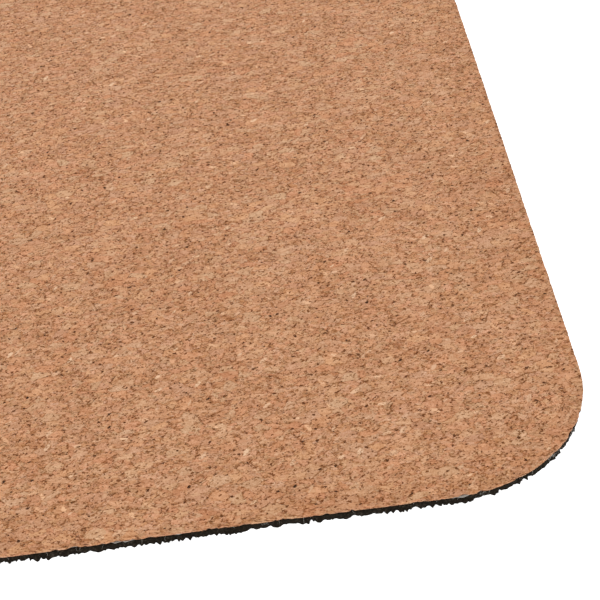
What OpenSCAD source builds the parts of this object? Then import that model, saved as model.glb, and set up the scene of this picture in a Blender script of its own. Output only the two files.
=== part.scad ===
// Desk mat: a cork face sheet glued, through a thin fabric liner, to a black rubber backing.
// Frame: +X along the long side, +Y towards the back edge, +Z up.
// The origin is the centre of the underside, in the plane that the mat rests on.

/* [Mat] */
// Length of the mat along X
mat_w = 600; // [400:10:900]
// Depth of the mat along Y
mat_d = 350; // [250:10:450]
// Plan radius of the four rounded corners
corner_r = 25; // [10:1:60]

/* [Layers] */
// Thickness of the agglomerated cork face
cork_t = 0.7; // [0.5:0.1:2]
// Thickness of the fabric liner with its glue
liner_t = 0.1; // [0.1:0.05:0.4]
// Thickness of the rubber backing, grip texture included
backing_t = 1.2; // [0.8:0.1:3]

/* [Trimming] */
// How far the liner's cut edge sits inside the cork's
liner_inset = 0.1; // [0:0.05:0.5]
// How far the backing's cut edge sits inside the cork's
backing_inset = 0.1; // [0:0.05:0.5]

/* [Hidden] */

liner_z = backing_t;
cork_z = backing_t + liner_t;
cork_colour = [0.75, 0.56, 0.42];
liner_colour = [0.78, 0.76, 0.72];
rubber_colour = [0.12, 0.12, 0.11];
$fn = 96;

// Plan outline of one layer: a rectangle with round corners, trimmed in by inset all round.
module mat_outline(inset) {
    w = mat_w - 2 * inset;
    d = mat_d - 2 * inset;
    r = corner_r - inset;
    square([w - 2 * r, d], center = true);
    square([w, d - 2 * r], center = true);
    for (x = [-1, 1], y = [-1, 1])
        translate([x * (w / 2 - r), y * (d / 2 - r)]) circle(r = r);
}

// One flat layer of the laminate, from z up through thickness t.
module layer(z, t, inset) {
    translate([0, 0, z])
        linear_extrude(height = t)
            mat_outline(inset);
}

// The rubber sheet that grips the desk.
module rubber_backing() {
    color(rubber_colour) layer(0, backing_t, backing_inset);
}

// The pale fabric that carries the glue between the rubber and the cork.
module fabric_liner() {
    color(liner_colour) layer(liner_z, liner_t, liner_inset);
}

// The writing and mousing surface of pressed cork granules.
module cork_face() {
    color(cork_colour) layer(cork_z, cork_t, 0);
}

rubber_backing();
fabric_liner();
cork_face();
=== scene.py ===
import math

import bpy
import numpy as np
from mathutils import Matrix, Vector
from mathutils.geometry import delaunay_2d_cdt


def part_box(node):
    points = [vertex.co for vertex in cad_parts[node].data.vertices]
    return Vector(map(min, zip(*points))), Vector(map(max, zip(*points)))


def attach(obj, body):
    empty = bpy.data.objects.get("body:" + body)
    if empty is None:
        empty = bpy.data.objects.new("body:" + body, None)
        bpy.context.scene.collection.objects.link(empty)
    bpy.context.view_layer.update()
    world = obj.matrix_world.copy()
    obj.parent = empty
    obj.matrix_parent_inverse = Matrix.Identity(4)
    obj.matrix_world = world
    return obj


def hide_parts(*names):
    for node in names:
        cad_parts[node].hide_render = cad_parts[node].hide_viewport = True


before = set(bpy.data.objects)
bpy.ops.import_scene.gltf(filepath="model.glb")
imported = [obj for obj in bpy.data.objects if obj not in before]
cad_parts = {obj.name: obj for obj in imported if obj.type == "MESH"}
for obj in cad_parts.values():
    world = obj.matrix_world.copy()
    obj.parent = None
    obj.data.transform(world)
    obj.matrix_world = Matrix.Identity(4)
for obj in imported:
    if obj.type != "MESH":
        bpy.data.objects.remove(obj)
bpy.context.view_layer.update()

# Desk mat: a cork sheet on a thin fabric liner on a black rubber base.
# Lengths are in metres, in the frame of the CAD part. "s" is a distance along the mat's outline,
# anticlockwise from the left end of the straight front edge.

MM = 0.001
SEED = 399
CORNER_RADIUS = 25 * MM

CORK_LOW, CORK_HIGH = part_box("cork_face")
LINER_LOW, LINER_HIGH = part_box("fabric_liner")
RUBBER_LOW, RUBBER_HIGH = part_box("rubber_backing")
HALF_X = (CORK_HIGH.x - CORK_LOW.x) / 2
HALF_Y = (CORK_HIGH.y - CORK_LOW.y) / 2
STRAIGHT = (2 * (HALF_X - CORNER_RADIUS), 2 * (HALF_Y - CORNER_RADIUS))
QUARTER_TURN = math.pi / 2 * CORNER_RADIUS
OUTLINE = 2 * sum(STRAIGHT) + 4 * QUARTER_TURN

# Mesh spacing: a column is the step along a cut edge, and a pitch is the step over a face. Graded rings
# join a face to its fine outline: how far in each ring is, and how many columns its step is.
CORK_COLUMN = 0.36 * MM
CORK_PITCH = 2.6 * MM
RUBBER_COLUMN = 0.175 * MM
RUBBER_PITCH = 3.2 * MM
LINER_COLUMN = 0.45 * MM
GLUED_FACE_PITCH = 12 * MM
GLUED_FACE_INSET = 4 * MM
GRADED_RINGS = ((0.95 * MM, 2), (1.8 * MM, 4))
GRADED_INSET = 2.8 * MM

# Torn lines run along the cut edges. Each has the step between its knots, its lowest and its highest.
# Patches and raggedness are shares, and the others are lengths.
NICKS = (0.7 * MM, -0.9 * MM, 0.2 * MM)
LINER_PATCHES = (3 * MM, -0.8, 0.4)
LINER_FRAY = (0.5 * MM, 0.12 * MM, 0.50 * MM)
TEAR_BLOCKS = (3.1 * MM, -0.22 * MM, 0.20 * MM)
TEAR_LUMPS = (0.9 * MM, -0.31 * MM, 0.31 * MM)
TEAR_TEETH = (0.28 * MM, -0.55 * MM, 0.55 * MM)
TEAR_RAGGEDNESS = (3.5 * MM, -0.3, 1.4)
LIFT_BLOCKS = (2.6 * MM, -0.10 * MM, 0.22 * MM)
LIFT_TEETH = (0.30 * MM, -0.16 * MM, 0.18 * MM)
WALL_FOLDS = (0.8 * MM, -0.10 * MM, 0.10 * MM)

# Cut edges wander slowly in waves: the shortest and longest wave, and how far they go.
WAVES = 7
KNIFE_WANDER = ((55 * MM, 240 * MM), 0.05 * MM)
TEAR_DRIFT = ((60 * MM, 200 * MM), 0.05 * MM)

# Cork sheet
CORK_RELIEF = 0.03 * MM
EDGE_EASE = 0.13 * MM
NICKS_START_AT = 0.62 * MM
FACE_CRUMBS = (0.9 * MM, 0.04 * MM)
LOWER_CRUMBS = (1.2 * MM, 0.26 * MM)
LOWER_CRUMBS_OUT = 0.03 * MM
# Width of the band along the cut edge where the cork's colour is darkened as painted shade
EDGE_SHADE_WIDTH = 11 * MM
PIT_COUNT = 3000
PIT_POINTS = 5
PIT_INSET = 3 * MM
PIT_SPACING = 2.4 * MM
PIT_CLEARANCE = 0.95 * MM

# Rubber base: undercut along the sides, and leaning out from there along the front and back
PEBBLE_RELIEF = 0.16 * MM
UNDERCUT = 0.42 * MM
FRONT_LEAN = 0.54 * MM
DEEPEST_TEAR = 0.5 * MM
TOP_SET_BACK = 0.10 * MM
WALL_LEVELS = (0.0, 0.3, 0.6, 0.86, 1.0)

# Liner
LINER_SET_BACK = 0.32 * MM
LINER_CLEARANCE = 0.005 * MM
LINER_BULGE = 0.02 * MM
TUFT_COUNT = 110
LONE_HAIRS = 650
HAIR_THICKNESS = 0.04 * MM
HAIR_SIDES = 3
HAIR_STEPS = 7


# ---------------------------------------------------------------- outline and noise


def walk(s, out=0.0):
    """Points on the mat's outline at distances s along it, moved out by out, as rows of x, y."""
    s = np.mod(s, OUTLINE)
    point = np.zeros((len(s), 2))
    away = np.zeros((len(s), 2))
    start = 0.0
    for side in range(4):
        turn = side * math.pi / 2
        along = np.array([math.cos(turn), math.sin(turn)])
        outward = np.array([math.sin(turn), -math.cos(turn)])
        length = STRAIGHT[side % 2]
        across = STRAIGHT[(side + 1) % 2] / 2
        local = s - start
        straight = (local >= 0) & (local < length)
        point[straight] = np.outer(local[straight] - length / 2, along)
        point[straight] += outward * (across + CORNER_RADIUS)
        away[straight] = outward
        bend = (local >= length) & (local < length + QUARTER_TURN)
        angle = (local[bend] - length) / CORNER_RADIUS
        away[bend] = np.outer(np.cos(angle), outward) + np.outer(np.sin(angle), along)
        point[bend] = along * length / 2 + outward * across + CORNER_RADIUS * away[bend]
        start += length + QUARTER_TURN
    return point + away * np.reshape(out, (-1, 1))


def uneven_steps(rng, pitch):
    """Distances along the outline about pitch apart, each step a little different."""
    steps = rng.uniform(0.6, 1.4, round(OUTLINE / pitch))
    return (np.cumsum(steps) - steps[0]) * OUTLINE / steps.sum()


def smooth_wander(rng, wavelengths, amplitude):
    """A slow in-and-out of a cut edge, as a function of s."""
    low, high = (OUTLINE / w for w in reversed(wavelengths))
    turns = rng.integers(int(low), int(high) + 1, WAVES)
    phases = rng.uniform(0, 2 * math.pi, WAVES)

    def at(s):
        waves = [np.sin(2 * math.pi * n * s / OUTLINE + p) for n, p in zip(turns, phases)]
        return amplitude * sum(waves) / math.sqrt(WAVES / 2)

    return at


def torn_line(rng, step, low, high):
    """Straight stretches between random heights at knots about step apart, as a function of s."""
    knots = uneven_steps(rng, step)
    heights = rng.uniform(low, high, len(knots))

    def at(s):
        return np.interp(s, knots, heights, period=OUTLINE)

    return at


def lump_field(rng, cell):
    """Smooth random heights from -1 to 1, about one lump per cell, as a function of points."""
    columns = int(2 * HALF_X / cell) + 4
    rows = int(2 * HALF_Y / cell) + 4
    grid = rng.uniform(-1, 1, (columns, rows))

    def at(points):
        u = (points[:, 0] + HALF_X) / cell + 1
        v = (points[:, 1] + HALF_Y) / cell + 1
        u = np.clip(u, 0, columns - 1.001)
        v = np.clip(v, 0, rows - 1.001)
        i, j = u.astype(int), v.astype(int)
        u, v = u - i, v - j
        u, v = u * u * (3 - 2 * u), v * v * (3 - 2 * v)
        near = grid[i, j] * (1 - u) + grid[i + 1, j] * u
        far = grid[i, j + 1] * (1 - u) + grid[i + 1, j + 1] * u
        return near * (1 - v) + far * v

    return at


def inside_by(points):
    """How far each point is inside the mat's outline."""
    q = np.abs(points) - np.array([HALF_X - CORNER_RADIUS, HALF_Y - CORNER_RADIUS])
    outer = np.linalg.norm(np.maximum(q, 0), axis=1)
    inner = np.minimum(q.max(axis=1), 0)
    return CORNER_RADIUS - outer - inner


def scatter(rng, pitch, inset):
    """Unevenly spaced points over the mat's face, all at least inset from its edge."""
    xs = np.arange(-HALF_X, HALF_X, pitch)
    ys = np.arange(-HALF_Y, HALF_Y, pitch * 0.87)
    x, y = np.meshgrid(xs, ys)
    x[1::2] += pitch / 2
    points = np.stack([x.ravel(), y.ravel()], axis=1)
    points += rng.uniform(-0.3, 0.3, points.shape) * pitch
    return points[inside_by(points) > inset]


def graded_rings(rng, column):
    """Rings of points that thin out from the fine outline to the coarse middle of a face."""
    rings = []
    for inset, columns in GRADED_RINGS:
        s = uneven_steps(rng, columns * column)
        rings.append(walk(s, -inset + rng.uniform(-0.08, 0.08, len(s)) * inset))
    return np.concatenate(rings)


# ---------------------------------------------------------------- meshes


def new_piece(name, points, faces):
    """An object in the scene with a smooth-shaded mesh."""
    mesh = bpy.data.meshes.new(name)
    mesh.from_pydata(points, [], faces)
    mesh.validate()
    mesh.shade_smooth()
    piece = bpy.data.objects.new(name, mesh)
    bpy.context.scene.collection.objects.link(piece)
    return piece


def cap_faces(ring, middle):
    """Triangles over a closed ring and the points inside it, by index into ring then middle."""
    flat = [Vector(p) for p in np.concatenate([ring, middle])[:, :2].tolist()]
    outline = list(range(len(ring)))
    only_inside = 1
    same_point = 1e-9
    found = delaunay_2d_cdt(flat, [], [outline], only_inside, same_point, True)
    _, _, triangles, sources, _, in_ring = found
    return [[sources[v][0] for v in t] for t, held in zip(triangles, in_ring) if held]


def closed_slab(name, rings, top_middle, bottom_middle):
    """One closed mesh: stacked rings from the top one down, with a triangulated face at each end."""
    count = len(rings[0])
    points = np.concatenate([*rings, top_middle, bottom_middle])
    top_start = count * len(rings)
    bottom_start = top_start + len(top_middle)
    last_ring = count * (len(rings) - 1)
    faces = []
    for tri in cap_faces(rings[0], top_middle):
        faces.append([v if v < count else v - count + top_start for v in tri])
    for tri in cap_faces(rings[-1], bottom_middle):
        moved = [v + last_ring if v < count else v - count + bottom_start for v in tri]
        faces.append(moved[::-1])
    for level in range(len(rings) - 1):
        upper = level * count
        lower = upper + count
        for i in range(count):
            j = (i + 1) % count
            faces.append([upper + i, lower + i, lower + j, upper + j])
    return new_piece(name, points.tolist(), faces)


def with_z(flat, z):
    """Rows of x, y made into rows of x, y, z."""
    return np.column_stack([flat, np.broadcast_to(z, len(flat))])


# ---------------------------------------------------------------- pieces

rng = np.random.default_rng(SEED)
knife = smooth_wander(rng, *KNIFE_WANDER)


def cell_of(point, cell):
    """The square cell that a point is in, by column and row."""
    return int(point[0] // cell), int(point[1] // cell)


def cells_around(key):
    """A cell and its eight neighbours."""
    return [(key[0] + i, key[1] + j) for i in (-1, 0, 1) for j in (-1, 0, 1)]


def pit_centres(rng):
    """Random places for pits, none in a neighbouring cell of another."""
    centres = rng.uniform(-1, 1, (PIT_COUNT * 2, 2)) * np.array([HALF_X, HALF_Y])
    taken = set()
    kept = []
    for c in centres[inside_by(centres) > PIT_INSET]:
        key = cell_of(c, PIT_SPACING)
        if not taken.intersection(cells_around(key)):
            taken.add(key)
            kept.append(c)
    return np.array(kept[:PIT_COUNT])


def make_pits(rng):
    """Small angular holes in the cork face: a low centre point, rim points and a size for each."""
    centres = pit_centres(rng)
    size = rng.uniform(0.16, 0.42, len(centres)) * MM
    stretch = rng.uniform(1.0, 2.2, len(centres))
    heading = rng.normal(0, 0.5, len(centres))
    rims = []
    for k in range(PIT_POINTS):
        angle = 2 * math.pi * (k + rng.uniform(-0.25, 0.25, len(centres))) / PIT_POINTS
        radius = size * rng.uniform(0.75, 1.25, len(centres))
        long_way = np.cos(angle) * radius * stretch
        short_way = np.sin(angle) * radius
        x = long_way * np.cos(heading) - short_way * np.sin(heading)
        y = long_way * np.sin(heading) + short_way * np.cos(heading)
        rims.append(centres + np.column_stack([x, y]))
    return centres, np.concatenate(rims), size


def clear_of(points, centres, distance):
    """The points that are at least distance from every centre."""
    cell = 2 * distance
    held = {}
    for c in centres:
        held.setdefault(cell_of(c, cell), []).append(c)
    keep = []
    for p in points:
        near = [c for key in cells_around(cell_of(p, cell)) for c in held.get(key, ())]
        keep.append(all(abs(p - c).max() > distance for c in near))
    return points[np.array(keep)]


def crumbled_line(rng, step, depth):
    """A cut edge with crumbs of two sizes out of it, up to depth each, as a function of s."""
    coarse = torn_line(rng, step, -depth, depth)
    fine = torn_line(rng, 0.4 * step, -depth, depth)
    return lambda s: coarse(s) + 0.8 * fine(s)


def mark(piece, name, values):
    """Keeps one number for each vertex, for the material to read."""
    kept = piece.data.attributes.new(name, "FLOAT", "POINT")
    kept.data.foreach_set("value", values.astype(np.float32))


def cork_edge(rng, s):
    """The cork's cut edge as rings from its eased top edge down to the liner."""
    top, bottom = CORK_HIGH.z, CORK_LOW.z
    nicks = np.minimum(torn_line(rng, *NICKS)(s) + NICKS_START_AT, 0)
    face = knife(s) + crumbled_line(rng, *FACE_CRUMBS)(s) + nicks * 0.35
    crumbs = np.minimum(crumbled_line(rng, *LOWER_CRUMBS)(s), LOWER_CRUMBS_OUT)
    lower = knife(s) + crumbs + nicks * 0.25
    middle = (face + lower) / 2 + rng.uniform(-0.02, 0.02, len(s)) * MM
    ease = EDGE_EASE * rng.uniform(0.6, 1.3, len(s))
    return [
        with_z(walk(s, face - ease), top),
        with_z(walk(s, face - ease * 0.25), top - ease * 0.4),
        with_z(walk(s, face), top - ease * 1.2),
        with_z(walk(s, middle), (top + bottom) / 2 - 0.05 * MM),
        with_z(walk(s, lower), bottom),
    ]


def make_cork(rng):
    """The cork sheet: crumbled at its cut edge, with shallow relief and open pits in its face."""
    s = uneven_steps(rng, CORK_COLUMN)
    rings = cork_edge(rng, s)
    broad = lump_field(rng, 9 * MM)
    fine = lump_field(rng, 3.1 * MM)
    centres, rims, size = make_pits(rng)
    grains = clear_of(scatter(rng, CORK_PITCH, GRADED_INSET), centres, PIT_CLEARANCE)
    level = np.concatenate([graded_rings(rng, CORK_COLUMN), grains, rims])
    height = (0.5 * broad(level) + 0.5 * fine(level)) * CORK_RELIEF
    floor = (0.5 * broad(centres) + 0.5 * fine(centres)) * CORK_RELIEF - size * 0.5
    face = with_z(level, CORK_HIGH.z + height)
    upper = np.concatenate([face, with_z(centres, CORK_HIGH.z + floor)])
    under = with_z(scatter(rng, GLUED_FACE_PITCH, GLUED_FACE_INSET), CORK_LOW.z)
    piece = closed_slab("cork_sheet", rings, upper, under)
    points = np.concatenate([*rings, upper, under])
    pit = np.zeros(len(points))
    last_pit = len(rings) * len(s) + len(upper)
    pit[last_pit - len(centres):last_pit] = 1.0
    mark(piece, "pit", pit)
    # rim: 1 at the cut edge down to 0 a band width in; the material uses it to paint shade along the
    # edge
    mark(piece, "rim", np.clip(1 - inside_by(points[:, :2]) / EDGE_SHADE_WIDTH, 0, 1))
    return piece


def make_liner(rng):
    """The fabric liner: a thin closed sheet whose cut edge shows past the cork in places."""
    s = uneven_steps(rng, LINER_COLUMN)
    patch = np.clip(4 * torn_line(rng, *LINER_PATCHES)(s), 0, 1)
    fray = torn_line(rng, *LINER_FRAY)(s)
    out = knife(s) - LINER_SET_BACK + fray * patch
    top = LINER_HIGH.z - LINER_CLEARANCE
    bottom = LINER_LOW.z + LINER_CLEARANCE
    rings = [
        with_z(walk(s, out - LINER_BULGE), top),
        with_z(walk(s, out + LINER_BULGE), (LINER_LOW.z + LINER_HIGH.z) / 2),
        with_z(walk(s, out), bottom),
    ]
    spread = scatter(rng, GLUED_FACE_PITCH, GLUED_FACE_INSET)
    return closed_slab("liner", rings, with_z(spread, top), with_z(spread, bottom))


def frontness(s):
    """1 along the front and back edges, 0 along the two sides, and between them round the corners."""
    outward = walk(s, 1.0) - walk(s, 0.0)
    return abs(outward[:, 1]) ** 1.25


def torn_edge(rng):
    """How far the rubber's torn edge stands out, and how high its bottom edge is, as functions of s."""
    drift = smooth_wander(rng, *TEAR_DRIFT)
    blocks = torn_line(rng, *TEAR_BLOCKS)
    lumps = torn_line(rng, *TEAR_LUMPS)
    teeth = torn_line(rng, *TEAR_TEETH)
    ragged = torn_line(rng, *TEAR_RAGGEDNESS)
    lift_blocks = torn_line(rng, *LIFT_BLOCKS)
    lift_teeth = torn_line(rng, *LIFT_TEETH)

    def out(s):
        fine = teeth(s) * np.clip(ragged(s), 0.35, 1)
        front = frontness(s)
        lean = -UNDERCUT + FRONT_LEAN * front
        tears = (drift(s) + blocks(s) + lumps(s) + fine) * (0.30 + 0.70 * front**2)
        return np.maximum(lean + tears, -DEEPEST_TEAR)

    def lift(s):
        fine = lift_teeth(s) * np.clip(ragged(s), 0.25, 1)
        return np.maximum(lift_blocks(s) + fine, 0)

    return out, lift


def rubber_wall(rng):
    """The rubber's side wall as a function of s and v, with v 0 at its top edge and 1 at its bottom."""
    out, lift = torn_edge(rng)
    folds = [torn_line(rng, *WALL_FOLDS) for _ in range(4)]

    def at(s, v):
        bulge = sum(f(s) * np.maximum(0, 1 - abs(v * 4 - k)) for k, f in enumerate(folds))
        across = knife(s) - TOP_SET_BACK * (1 - v) + out(s) * v**0.7 + bulge
        z = RUBBER_HIGH.z + (RUBBER_LOW.z + lift(s) - RUBBER_HIGH.z) * v
        return across, z

    return at


def make_rubber(rng, wall):
    """The rubber base: a torn, uneven cut edge and a pebbled underside that stands on its lumps."""
    s = uneven_steps(rng, RUBBER_COLUMN)
    rings = []
    for v in WALL_LEVELS:
        across, z = wall(s, v)
        across = across + rng.uniform(-0.025, 0.025, len(s)) * MM * (0 < v < 1)
        rings.append(with_z(walk(s, across), z))
    big = lump_field(rng, 4.2 * MM)
    small = lump_field(rng, 2.1 * MM)
    near_edge = graded_rings(rng, RUBBER_COLUMN)
    field = np.concatenate([near_edge, scatter(rng, RUBBER_PITCH, GRADED_INSET)])
    lumps = 0.5 + 0.5 * (0.45 * big(field) + 0.55 * small(field))
    under = with_z(field, RUBBER_LOW.z + PEBBLE_RELIEF * lumps)
    over = with_z(scatter(rng, GLUED_FACE_PITCH, GLUED_FACE_INSET), RUBBER_HIGH.z)
    return closed_slab("rubber_base", rings, over, under)


def hair_starts(rng):
    """Places along the outline where threads hang: a few in each tuft, and some on their own."""
    starts = [rng.uniform(0, OUTLINE, LONE_HAIRS)]
    for middle in rng.uniform(0, OUTLINE, TUFT_COUNT):
        starts.append(middle + rng.normal(0, 0.6, rng.integers(3, 14)) * MM)
    return np.concatenate(starts)


def unit(rows):
    """Vectors scaled to length 1."""
    return rows / np.linalg.norm(rows, axis=-1, keepdims=True)


def hair_spines(rng, wall, t):
    """Bent lines down the rubber's edge, one for each thread, as points at t from root to tip."""
    start = hair_starts(rng)[:, None]
    lean = rng.normal(0, 0.25, start.shape) * MM
    swing = rng.uniform(-0.12, 0.12, start.shape) * MM
    bow = rng.uniform(0.01, 0.08, start.shape) * MM
    drop = rng.uniform(0.12, 0.70, start.shape)
    s = start + lean * t + swing * np.sin(math.pi * t)
    across, z = wall(s.ravel(), (drop * t**1.3).ravel())
    away = across + HAIR_THICKNESS * 0.6 + (bow * np.sin(math.pi * t)).ravel()
    spine = with_z(walk(s.ravel(), away), z).reshape(*s.shape, 3)
    spine[:, :, 2] += 0.04 * MM * (1 - t)
    return spine


def tube_faces(count):
    """The faces of count closed tubes, each of HAIR_STEPS rings of HAIR_SIDES points."""
    sides = []
    for i in range(HAIR_STEPS - 1):
        for k in range(HAIR_SIDES):
            m = (k + 1) % HAIR_SIDES
            corners = np.array([k, m, m + HAIR_SIDES, k + HAIR_SIDES])
            sides.append(corners + i * HAIR_SIDES)
    root = list(reversed(range(HAIR_SIDES)))
    tip = [(HAIR_STEPS - 1) * HAIR_SIDES + k for k in range(HAIR_SIDES)]
    first = np.arange(count)[:, None, None] * HAIR_STEPS * HAIR_SIDES
    faces = (first + np.array(sides)).reshape(-1, 4).tolist()
    return faces + (first + np.array([root, tip])).reshape(-1, HAIR_SIDES).tolist()


def make_hairs(rng, wall):
    """Loose liner threads that cling to the rubber's edge, as one mesh of thin tapered tubes."""
    t = np.linspace(0, 1, HAIR_STEPS)
    spine = hair_spines(rng, wall, t)
    run = unit(np.gradient(spine, axis=1))
    side_way = unit(np.cross(run, (0.3, 0.2, 0.93)))
    up_way = np.cross(side_way, run)
    radius = (HAIR_THICKNESS / 2 * (1 - 0.5 * t))[:, None]
    rings = []
    for k in range(HAIR_SIDES):
        a = 2 * math.pi * k / HAIR_SIDES
        rings.append(spine + (math.cos(a) * side_way + math.sin(a) * up_way) * radius)
    points = np.stack(rings, axis=2).reshape(-1, 3)
    return new_piece("liner_threads", points.tolist(), tube_faces(len(spine)))


# ---------------------------------------------------------------- material nodes


class Graph:
    """Short ways to add shader nodes to one material."""

    def __init__(self, name):
        self.material = bpy.data.materials.new(name)
        self.material.use_nodes = True
        self.tree = self.material.node_tree
        self.shader = self.tree.nodes["Principled BSDF"]

    def node(self, kind, inputs=None, **settings):
        """A new node with its settings and inputs; an input is a number, a colour or a socket."""
        made = self.tree.nodes.new(kind)
        for key, value in settings.items():
            setattr(made, key, value)
        for key, value in (inputs or {}).items():
            self.feed(made.inputs[key], value)
        return made

    def feed(self, socket, value):
        """Links a socket to another, or sets its value."""
        if isinstance(value, bpy.types.NodeSocket):
            self.tree.links.new(value, socket)
        else:
            socket.default_value = value

    def math(self, operation, a, b=0.0):
        made = self.node("ShaderNodeMath", {0: a, 1: b}, operation=operation)
        return made.outputs[0]

    def vector(self, operation, a, b):
        made = self.node("ShaderNodeVectorMath", {0: a, 1: b}, operation=operation)
        return made.outputs[0]

    def millimetres(self):
        """The place on the piece in millimetres, in the frame of the CAD part."""
        here = self.node("ShaderNodeTexCoord").outputs["Object"]
        return self.vector("MULTIPLY", here, (1 / MM, 1 / MM, 1 / MM))

    def noise(self, vector, size, detail=1.0, rough=0.5, colour=False):
        """Noise whose features are about size millimetres across."""
        inputs = {"Vector": vector, "Scale": 1 / size, "Detail": detail, "Roughness": rough}
        made = self.node("ShaderNodeTexNoise", inputs)
        return made.outputs["Color" if colour else "Fac"]

    def warp(self, vector, size, amount, detail=1.0):
        """The vector pushed about by up to half amount each way."""
        push = self.noise(vector, size, detail, colour=True)
        push = self.vector("SUBTRACT", push, (0.5, 0.5, 0.5))
        push = self.vector("MULTIPLY", push, (amount, amount, amount))
        return self.vector("ADD", vector, push)

    def slanted(self, vector):
        """The vector pushed sideways by its height, so that a flat pattern changes down a cut edge."""
        height = self.node("ShaderNodeSeparateXYZ", {"Vector": vector}).outputs["Z"]
        push = {"X": self.math("MULTIPLY", height, 2.2), "Y": self.math("MULTIPLY", height, 1.7)}
        sideways = self.node("ShaderNodeCombineXYZ", push).outputs[0]
        return self.vector("ADD", vector, sideways)

    def cells(self, vector, size):
        """Random numbers for each cell about size millimetres across, as three sockets."""
        inputs = {"Vector": vector, "Scale": 1 / size}
        made = self.node("ShaderNodeTexVoronoi", inputs, voronoi_dimensions="3D")
        split = self.node("ShaderNodeSeparateColor", {"Color": made.outputs["Color"]})
        return split.outputs[0], split.outputs[1], split.outputs[2]

    def seam(self, vector, size):
        """Distance in millimetres to the nearest border between those same cells."""
        inputs = {"Vector": vector, "Scale": 1 / size}
        made = self.node("ShaderNodeTexVoronoi", inputs, voronoi_dimensions="3D")
        made.feature = "DISTANCE_TO_EDGE"
        return self.math("MULTIPLY", made.outputs["Distance"], size)

    def chips(self, vector, spacing, share, length, width):
        """Thin turned chips in share of the cells spacing apart, up to length by width in millimetres.

        Gives 1 inside a chip, 1 along its rim, and two random numbers for each chip.
        """
        inputs = {"Vector": vector, "Scale": 1 / spacing}
        made = self.node("ShaderNodeTexVoronoi", inputs, voronoi_dimensions="2D")
        split = self.node("ShaderNodeSeparateColor", {"Color": made.outputs["Color"]})
        turn, pick, shade = split.outputs
        away = self.vector("SUBTRACT", vector, made.outputs["Position"])
        spin = self.node("ShaderNodeVectorRotate", rotation_type="Z_AXIS")
        self.feed(spin.inputs["Vector"], away)
        self.feed(spin.inputs["Angle"], self.spread(turn, 2.5))
        shape = self.vector("MULTIPLY", spin.outputs[0], (2 / length, 2 / width, 0.0))
        reach = self.node("ShaderNodeVectorMath", {0: shape}, operation="LENGTH")
        there = self.step(pick, 1.0 - share, 1.001 - share, 0.001, 1.0)
        size = self.math("MULTIPLY", there, self.step(pick, 1.0 - share, 1.0, 0.5, 1.0))
        ratio = self.math("DIVIDE", reach.outputs["Value"], size)
        inside = self.step(ratio, 0.88, 1.12, 1.0, 0.0)
        off_rim = self.math("ABSOLUTE", self.math("SUBTRACT", ratio, 1.0))
        rim = self.step(off_rim, 0.02, 0.22, 1.0, 0.0)
        return inside, rim, shade, turn

    def step(self, value, low, high, start=0.0, end=1.0):
        """A smooth change from start to end as value goes from low to high."""
        inputs = {"Value": value, "From Min": low, "From Max": high}
        inputs.update({"To Min": start, "To Max": end})
        made = self.node("ShaderNodeMapRange", inputs, interpolation_type="SMOOTHSTEP")
        return made.outputs[0]

    def blend(self, factor, a, b):
        """Number b where factor is 1 and a where it is 0."""
        made = self.node("ShaderNodeMix", data_type="FLOAT")
        self.feed(made.inputs[0], factor)
        self.feed(made.inputs[2], a)
        self.feed(made.inputs[3], b)
        return made.outputs[0]

    def paint(self, factor, a, b, mode="MIX"):
        """Colour b over colour a by factor."""
        made = self.node("ShaderNodeMix", data_type="RGBA", blend_type=mode)
        self.feed(made.inputs[0], factor)
        self.feed(made.inputs[6], a)
        self.feed(made.inputs[7], b)
        return made.outputs[2]

    def spread(self, value, width):
        """A number from 0 to 1 made into one that is width wide about 0."""
        return self.math("MULTIPLY", self.math("SUBTRACT", value, 0.5), width)

    def total(self, parts):
        """The sum of several numbers."""
        out = parts[0]
        for part in parts[1:]:
            out = self.math("ADD", out, part)
        return out

    def ramp(self, factor, stops):
        """A colour from evenly blended stops, each a position and a colour."""
        made = self.node("ShaderNodeValToRGB", {"Fac": factor})
        marks = made.color_ramp.elements
        while len(marks) < len(stops):
            marks.new(0.5)
        for mark, (position, colour) in zip(marks, stops):
            mark.position = position
            mark.color = (*colour, 1.0)
        return made.outputs["Color"]

    def bump(self, height, depth, strength=1.0):
        """A normal tilted by a height from 0 to 1 that stands for depth metres."""
        inputs = {"Height": height, "Distance": depth, "Strength": strength}
        return self.node("ShaderNodeBump", inputs).outputs["Normal"]

    def finish(self, **sockets):
        """Feeds the shader's own sockets, named with _ for a space, and gives the material."""
        for key, value in sockets.items():
            self.feed(self.shader.inputs[key.replace("_", " ")], value)
        return self.material


# Cork colours by tone, from bark through mid tan to pale flakes. A tone is a number from 0 to 1.
CORK_TONES = (
    (0.16, (0.030, 0.011, 0.003)),
    (0.29, (0.140, 0.039, 0.007)),
    (0.38, (0.220, 0.082, 0.026)),
    (0.46, (0.300, 0.125, 0.050)),
    (0.54, (0.392, 0.185, 0.089)),
    (0.58, (0.450, 0.222, 0.115)),
    (0.61, (0.490, 0.256, 0.139)),
    (0.67, (0.562, 0.309, 0.179)),
    (0.73, (0.650, 0.388, 0.240)),
    (0.82, (0.780, 0.500, 0.335)),
)
CORK_MIDDLE = 0.596
# Granules: sizes in millimetres, and the share of the big ones that is broken into small ones.
BIG_GRANULE = 1.65
SMALL_GRANULE = 0.72
BROKEN_SHARE = 0.60
# Flakes and specks are rows of chips. Cycles draws a material black when it holds too many nodes: the
# cork still renders with a fourth row of flakes, but not with a fifth.
# Flakes: spacing in millimetres, share of places taken, longest length and width in millimetres,
# mean tone above the middle, how far the tone may differ, and how much it hides what is under it.
CORK_FLAKES = (
    (2.3, 0.70, 2.0, 1.05, 0.01, 0.12, 0.55),
    (6.0, 0.60, 3.6, 0.70, 0.05, 0.14, 0.75),
    (3.6, 0.55, 1.9, 0.85, 0.06, 0.22, 0.85),
)
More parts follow.
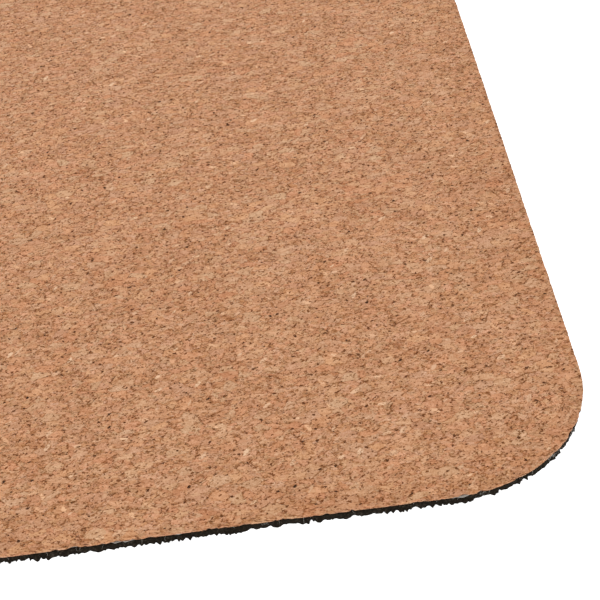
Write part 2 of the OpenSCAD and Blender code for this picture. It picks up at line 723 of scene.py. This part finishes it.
# Specks: spacing, share of places taken, longest length and width, and how much darker they are.
CORK_SPECKS = (
    (0.80, 0.45, 0.38, 0.22, 0.26),
    (1.10, 0.62, 0.52, 0.34, 0.27),
    (1.70, 0.60, 1.00, 0.28, 0.24),
    (3.30, 0.66, 0.70, 0.44, 0.37),
    (8.50, 0.50, 4.60, 0.30, 0.18),
)
# Tints of the granules, between the two of each pair.
WARMER = (1.034, 0.966, 0.905, 1.0)
COOLER = (0.966, 1.034, 1.103, 1.0)
ROSIER = (1.018, 0.982, 1.024, 1.0)
GREENER = (0.982, 1.018, 0.977, 1.0)


def cork_granules(g, here):
    """Pressed granules: their tone, the distance to their edge, and two random numbers for tint."""
    flat = g.vector("MULTIPLY", here, (0.66, 1.06, 1.7))
    bent = g.warp(g.warp(flat, 1.6, 0.9, 2.0), 0.45, 0.22)
    big_tone, big_pick, big_hue = g.cells(bent, BIG_GRANULE)
    small_tone, small_pick, small_hue = g.cells(bent, SMALL_GRANULE)
    whole = g.step(big_pick, BROKEN_SHARE, BROKEN_SHARE + 0.001)
    big_edge = g.seam(bent, BIG_GRANULE)
    small_edge = g.seam(bent, SMALL_GRANULE)
    edge = g.blend(whole, g.math("MINIMUM", big_edge, small_edge), big_edge)
    warmth = g.blend(whole, small_hue, big_hue)
    green = g.blend(whole, small_pick, big_tone)

    spin = g.node("ShaderNodeVectorRotate", rotation_type="Z_AXIS")
    g.feed(spin.inputs["Vector"], here)
    g.feed(spin.inputs["Angle"], g.spread(g.blend(whole, small_pick, big_hue), 1.6))
    lines = g.vector("MULTIPLY", spin.outputs[0], (0.6, 2.4, 1.0))
    parts = [
        g.spread(big_tone, 0.050),
        g.spread(small_tone, 0.068),
        g.spread(g.noise(lines, 1.0, 1.5), 0.14),
        g.spread(g.noise(here, 0.28, 1.5), 0.26),
        g.spread(g.noise(here, 2.6, 2.0), 0.045),
        g.spread(g.noise(here, 13.0, 2.0), 0.05),
    ]
    return g.math("ADD", g.total(parts), CORK_MIDDLE), edge, warmth, green


def with_flakes(g, here, tone, warmth, green):
    """The tone and tint numbers with each row of flakes laid over them."""
    jagged = g.slanted(g.warp(here, 0.5, 0.30))
    for spacing, share, length, width, paler, spread, cover in CORK_FLAKES:
        moved = g.vector("ADD", jagged, (7.1 * spacing, 3.3 * spacing, 0.0))
        flake, rim, shade, turn = g.chips(moved, spacing, share, length, width)
        own_tone = g.math("ADD", g.spread(shade, spread), CORK_MIDDLE + paler)
        covered = g.math("MULTIPLY", flake, cover)
        tone = g.blend(covered, tone, own_tone)
        warmth = g.blend(covered, warmth, turn)
        green = g.blend(covered, green, shade)
        tone = g.math("SUBTRACT", tone, g.math("MULTIPLY", rim, 0.045))
    return tone, warmth, green


def seam_darkness(g, here, edge):
    """How much darker the seams between granules are, deeper in some places than in others."""
    open_seam = g.step(edge, 0.01, 0.11, 1.0, 0.0)
    seam_depth = g.step(g.noise(here, 0.9, 2.0), 0.45, 0.68, 0.01, 0.18)
    return g.math("MULTIPLY", open_seam, seam_depth)


def speck_darkness(g, here, edge):
    """How much darker the dots by the seams, the bark specks and the open pits are."""
    oval = g.vector("MULTIPLY", here, (0.8, 1.2, 1.0))
    dots = g.step(g.noise(oval, 0.26, 1.0), 0.60, 0.72)
    by_seam = g.step(edge, 0.05, 0.22, 1.0, 0.0)
    dark = g.math("MULTIPLY", g.math("MULTIPLY", dots, by_seam), 0.20)
    crumbled = g.slanted(g.warp(here, 0.28, 0.26))
    for spacing, share, length, width, depth in CORK_SPECKS:
        moved = g.vector("ADD", crumbled, (3.7 * spacing, 9.1 * spacing, 0.0))
        speck, _, shade, _ = g.chips(moved, spacing, share, length, width)
        strength = g.step(shade, 0.0, 1.0, 0.4 * depth, depth)
        dark = g.math("MAXIMUM", dark, g.math("MULTIPLY", speck, strength))
    pit = g.node("ShaderNodeAttribute", attribute_name="pit").outputs["Fac"]
    rag = g.math("ADD", pit, g.math("MULTIPLY", g.noise(here, 0.3, 1.0), 0.5))
    hole = g.math("MULTIPLY", g.step(rag, 0.60, 0.90), 0.36)
    return g.math("MAXIMUM", dark, hole)


def painted_edge_shade(g, here):
    """How much darker the cork is close to its edge: painted shade, standing in for light that falls
    off toward the edge.
    """
    near_edge = g.node("ShaderNodeAttribute", attribute_name="rim").outputs["Fac"]
    shade_depth = g.step(g.noise(here, 8.0, 2.0), 0.35, 0.65, 0.014, 0.028)
    return g.math("MULTIPLY", g.math("POWER", near_edge, 1.4), shade_depth)


def cork_material():
    """Pressed cork: small uneven granules, dark seams, flakes and bark specks, sanded matt, with
    painted shade toward its edge.
    """
    g = Graph("cork")
    here = g.millimetres()
    tone, edge, warmth, green = cork_granules(g, here)
    tone, warmth, green = with_flakes(g, here, tone, warmth, green)
    tone = g.math("SUBTRACT", tone, seam_darkness(g, here, edge))
    dark = speck_darkness(g, here, edge)
    tone = g.math("SUBTRACT", tone, dark)
    # Painted shade: the cork darkened toward its edge, standing in for light falling off there
    tone = g.math("SUBTRACT", tone, painted_edge_shade(g, here))
    colour = g.ramp(tone, CORK_TONES)
    colour = g.paint(1.0, colour, g.paint(warmth, COOLER, WARMER), "MULTIPLY")
    colour = g.paint(1.0, colour, g.paint(green, ROSIER, GREENER), "MULTIPLY")
    return g.finish(
        Base_Color=colour,
        Roughness=g.step(tone, 0.4, 0.8, 0.90, 0.72),
        Normal=g.bump(g.math("SUBTRACT", tone, dark), 0.19 * MM),
        Specular_IOR_Level=0.10,
        Sheen_Weight=0.08,
        Sheen_Roughness=0.4,
    )


RUBBER_TONES = (
    (0.0, (0.0068, 0.0049, 0.0027)),
    (0.5, (0.0165, 0.0124, 0.0082)),
    (1.0, (0.0620, 0.0500, 0.0380)),
)


def rubber_material():
    """Matt black rubber: dull and grainy, with slightly greyer torn grains."""
    g = Graph("black_rubber")
    here = g.millimetres()
    grain = g.noise(here, 0.35, 3.0, 0.6)
    blotch = g.noise(here, 2.4, 2.0)
    tone = g.math("MULTIPLY", g.step(grain, 0.3, 0.75), g.step(blotch, 0.2, 0.8, 0.5, 1.0))
    pebble = g.seam(g.warp(here, 1.4, 0.6), 1.3)
    height = g.math("ADD", g.step(pebble, 0.0, 0.4), g.math("MULTIPLY", grain, 1.2))
    return g.finish(
        Base_Color=g.ramp(tone, RUBBER_TONES),
        Roughness=g.step(grain, 0.3, 0.7, 0.70, 0.88),
        Normal=g.bump(height, 0.12 * MM, 0.8),
        Specular_IOR_Level=0.05,
    )


DULL_FABRIC = (0.30, 0.27, 0.23)
CLEAN_FABRIC = (0.72, 0.69, 0.62)


def fabric_material(name, brightness):
    """Undyed non-woven fabric with a fine felted grain."""
    g = Graph(name)
    here = g.millimetres()
    felt = g.noise(here, 0.18, 3.0, 0.6)
    soil = g.noise(here, 2.0, 2.0)
    tone = g.math("MULTIPLY", felt, g.step(soil, 0.2, 0.8, 0.6, 1.0))
    dull = tuple(brightness * c for c in DULL_FABRIC)
    clean = tuple(brightness * c for c in CLEAN_FABRIC)
    return g.finish(
        Base_Color=g.ramp(tone, ((0.2, dull), (0.75, clean))),
        Roughness=g.step(felt, 0.2, 0.8, 0.85, 0.97),
        Normal=g.bump(felt, 0.05 * MM, 0.7),
        Sheen_Weight=0.3,
    )


# ---------------------------------------------------------------- stage, lights and camera

WHITE = (1.0, 1.0, 1.0, 1.0)
TABLE_GREY = (0.90, 0.90, 0.90, 1.0)
TABLE_GLOW = 0.85
TABLE_HALF = 8.0
TABLE_GAP = 0.02 * MM


def make_floor():
    """A large plain pale table just under the mat."""
    z = RUBBER_LOW.z - TABLE_GAP
    around = ((-1, -1), (1, -1), (1, 1), (-1, 1))
    corners = [(x * TABLE_HALF, y * TABLE_HALF, z) for x, y in around]
    piece = new_piece("floor", corners, [[0, 1, 2, 3]])
    g = Graph("pale_table")
    table = g.finish(
        Base_Color=TABLE_GREY,
        Roughness=0.9,
        Emission_Color=WHITE,
        Emission_Strength=TABLE_GLOW,
    )
    piece.data.materials.append(table)
    return piece


KEY_PLACE = Vector((-0.6, 1.2, 1.9))
KEY_SIZE = 1.5
KEY_WATTS = 27.0
SKY_STRENGTH = 1.0


def make_sky():
    """Even white light from all round."""
    world = bpy.data.worlds.new("studio")
    bpy.context.scene.world = world
    world.use_nodes = True
    sky = world.node_tree.nodes["Background"]
    sky.inputs["Color"].default_value = WHITE
    sky.inputs["Strength"].default_value = SKY_STRENGTH


def make_key_light():
    """One large soft lamp behind the mat, aimed at its middle."""
    lamp = bpy.data.lights.new("key", "AREA")
    lamp.shape = "DISK"
    lamp.size = KEY_SIZE
    lamp.energy = KEY_WATTS
    piece = bpy.data.objects.new("key", lamp)
    bpy.context.scene.collection.objects.link(piece)
    piece.location = KEY_PLACE
    piece.rotation_euler = (-KEY_PLACE).to_track_quat("-Z", "Y").to_euler()


# The camera looks at a point of the face that is so many corner radii from the box's near right corner.
CAMERA_LENS = 100.0
CAMERA_SENSOR = 36.0
CAMERA_YAW = math.radians(0.781)
CAMERA_ELEVATION = math.radians(38.675)
CAMERA_ROLL = math.radians(-6.972)
AIM_IN_RADII = (-1.765, 2.0859)
DISTANCE_IN_RADII = 11.8383


def make_camera():
    """The close view down on the near right corner."""
    across = math.cos(CAMERA_ELEVATION)
    forward = Vector((
        math.sin(CAMERA_YAW) * across,
        math.cos(CAMERA_YAW) * across,
        -math.sin(CAMERA_ELEVATION),
    ))
    level = Vector((math.cos(CAMERA_YAW), -math.sin(CAMERA_YAW), 0.0))
    upright = level.cross(forward)
    right = math.cos(CAMERA_ROLL) * level + math.sin(CAMERA_ROLL) * upright
    up = math.cos(CAMERA_ROLL) * upright - math.sin(CAMERA_ROLL) * level
    corner = Vector((CORK_HIGH.x, CORK_LOW.y, CORK_HIGH.z))
    target = corner + Vector((*AIM_IN_RADII, 0.0)) * CORNER_RADIUS
    place = target - forward * DISTANCE_IN_RADII * CORNER_RADIUS
    turned = Matrix((right, up, -forward)).transposed().to_4x4()
    lens = bpy.data.cameras.new("camera")
    lens.lens = CAMERA_LENS
    lens.sensor_width = CAMERA_SENSOR
    lens.clip_start = 0.01
    lens.clip_end = 50.0
    camera = bpy.data.objects.new("camera", lens)
    bpy.context.scene.collection.objects.link(camera)
    camera.matrix_world = Matrix.Translation(place) @ turned
    bpy.context.scene.camera = camera


# ---------------------------------------------------------------- the whole scene

wall = rubber_wall(rng)
rubber_base = make_rubber(rng, wall)
liner = make_liner(rng)
cork_sheet = make_cork(rng)
liner_threads = make_hairs(rng, wall)

rubber_base.data.materials.append(rubber_material())
liner.data.materials.append(fabric_material("liner_fabric", 0.70))
liner_threads.data.materials.append(fabric_material("thread_fabric", 0.75))
cork_sheet.data.materials.append(cork_material())

for piece in (rubber_base, liner, cork_sheet, liner_threads):
    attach(piece, "root")

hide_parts("rubber_backing")
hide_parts("fabric_liner")
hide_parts("cork_face")

make_floor()
make_sky()
make_key_light()
make_camera()
bpy.context.scene.view_settings.view_transform = "Standard"
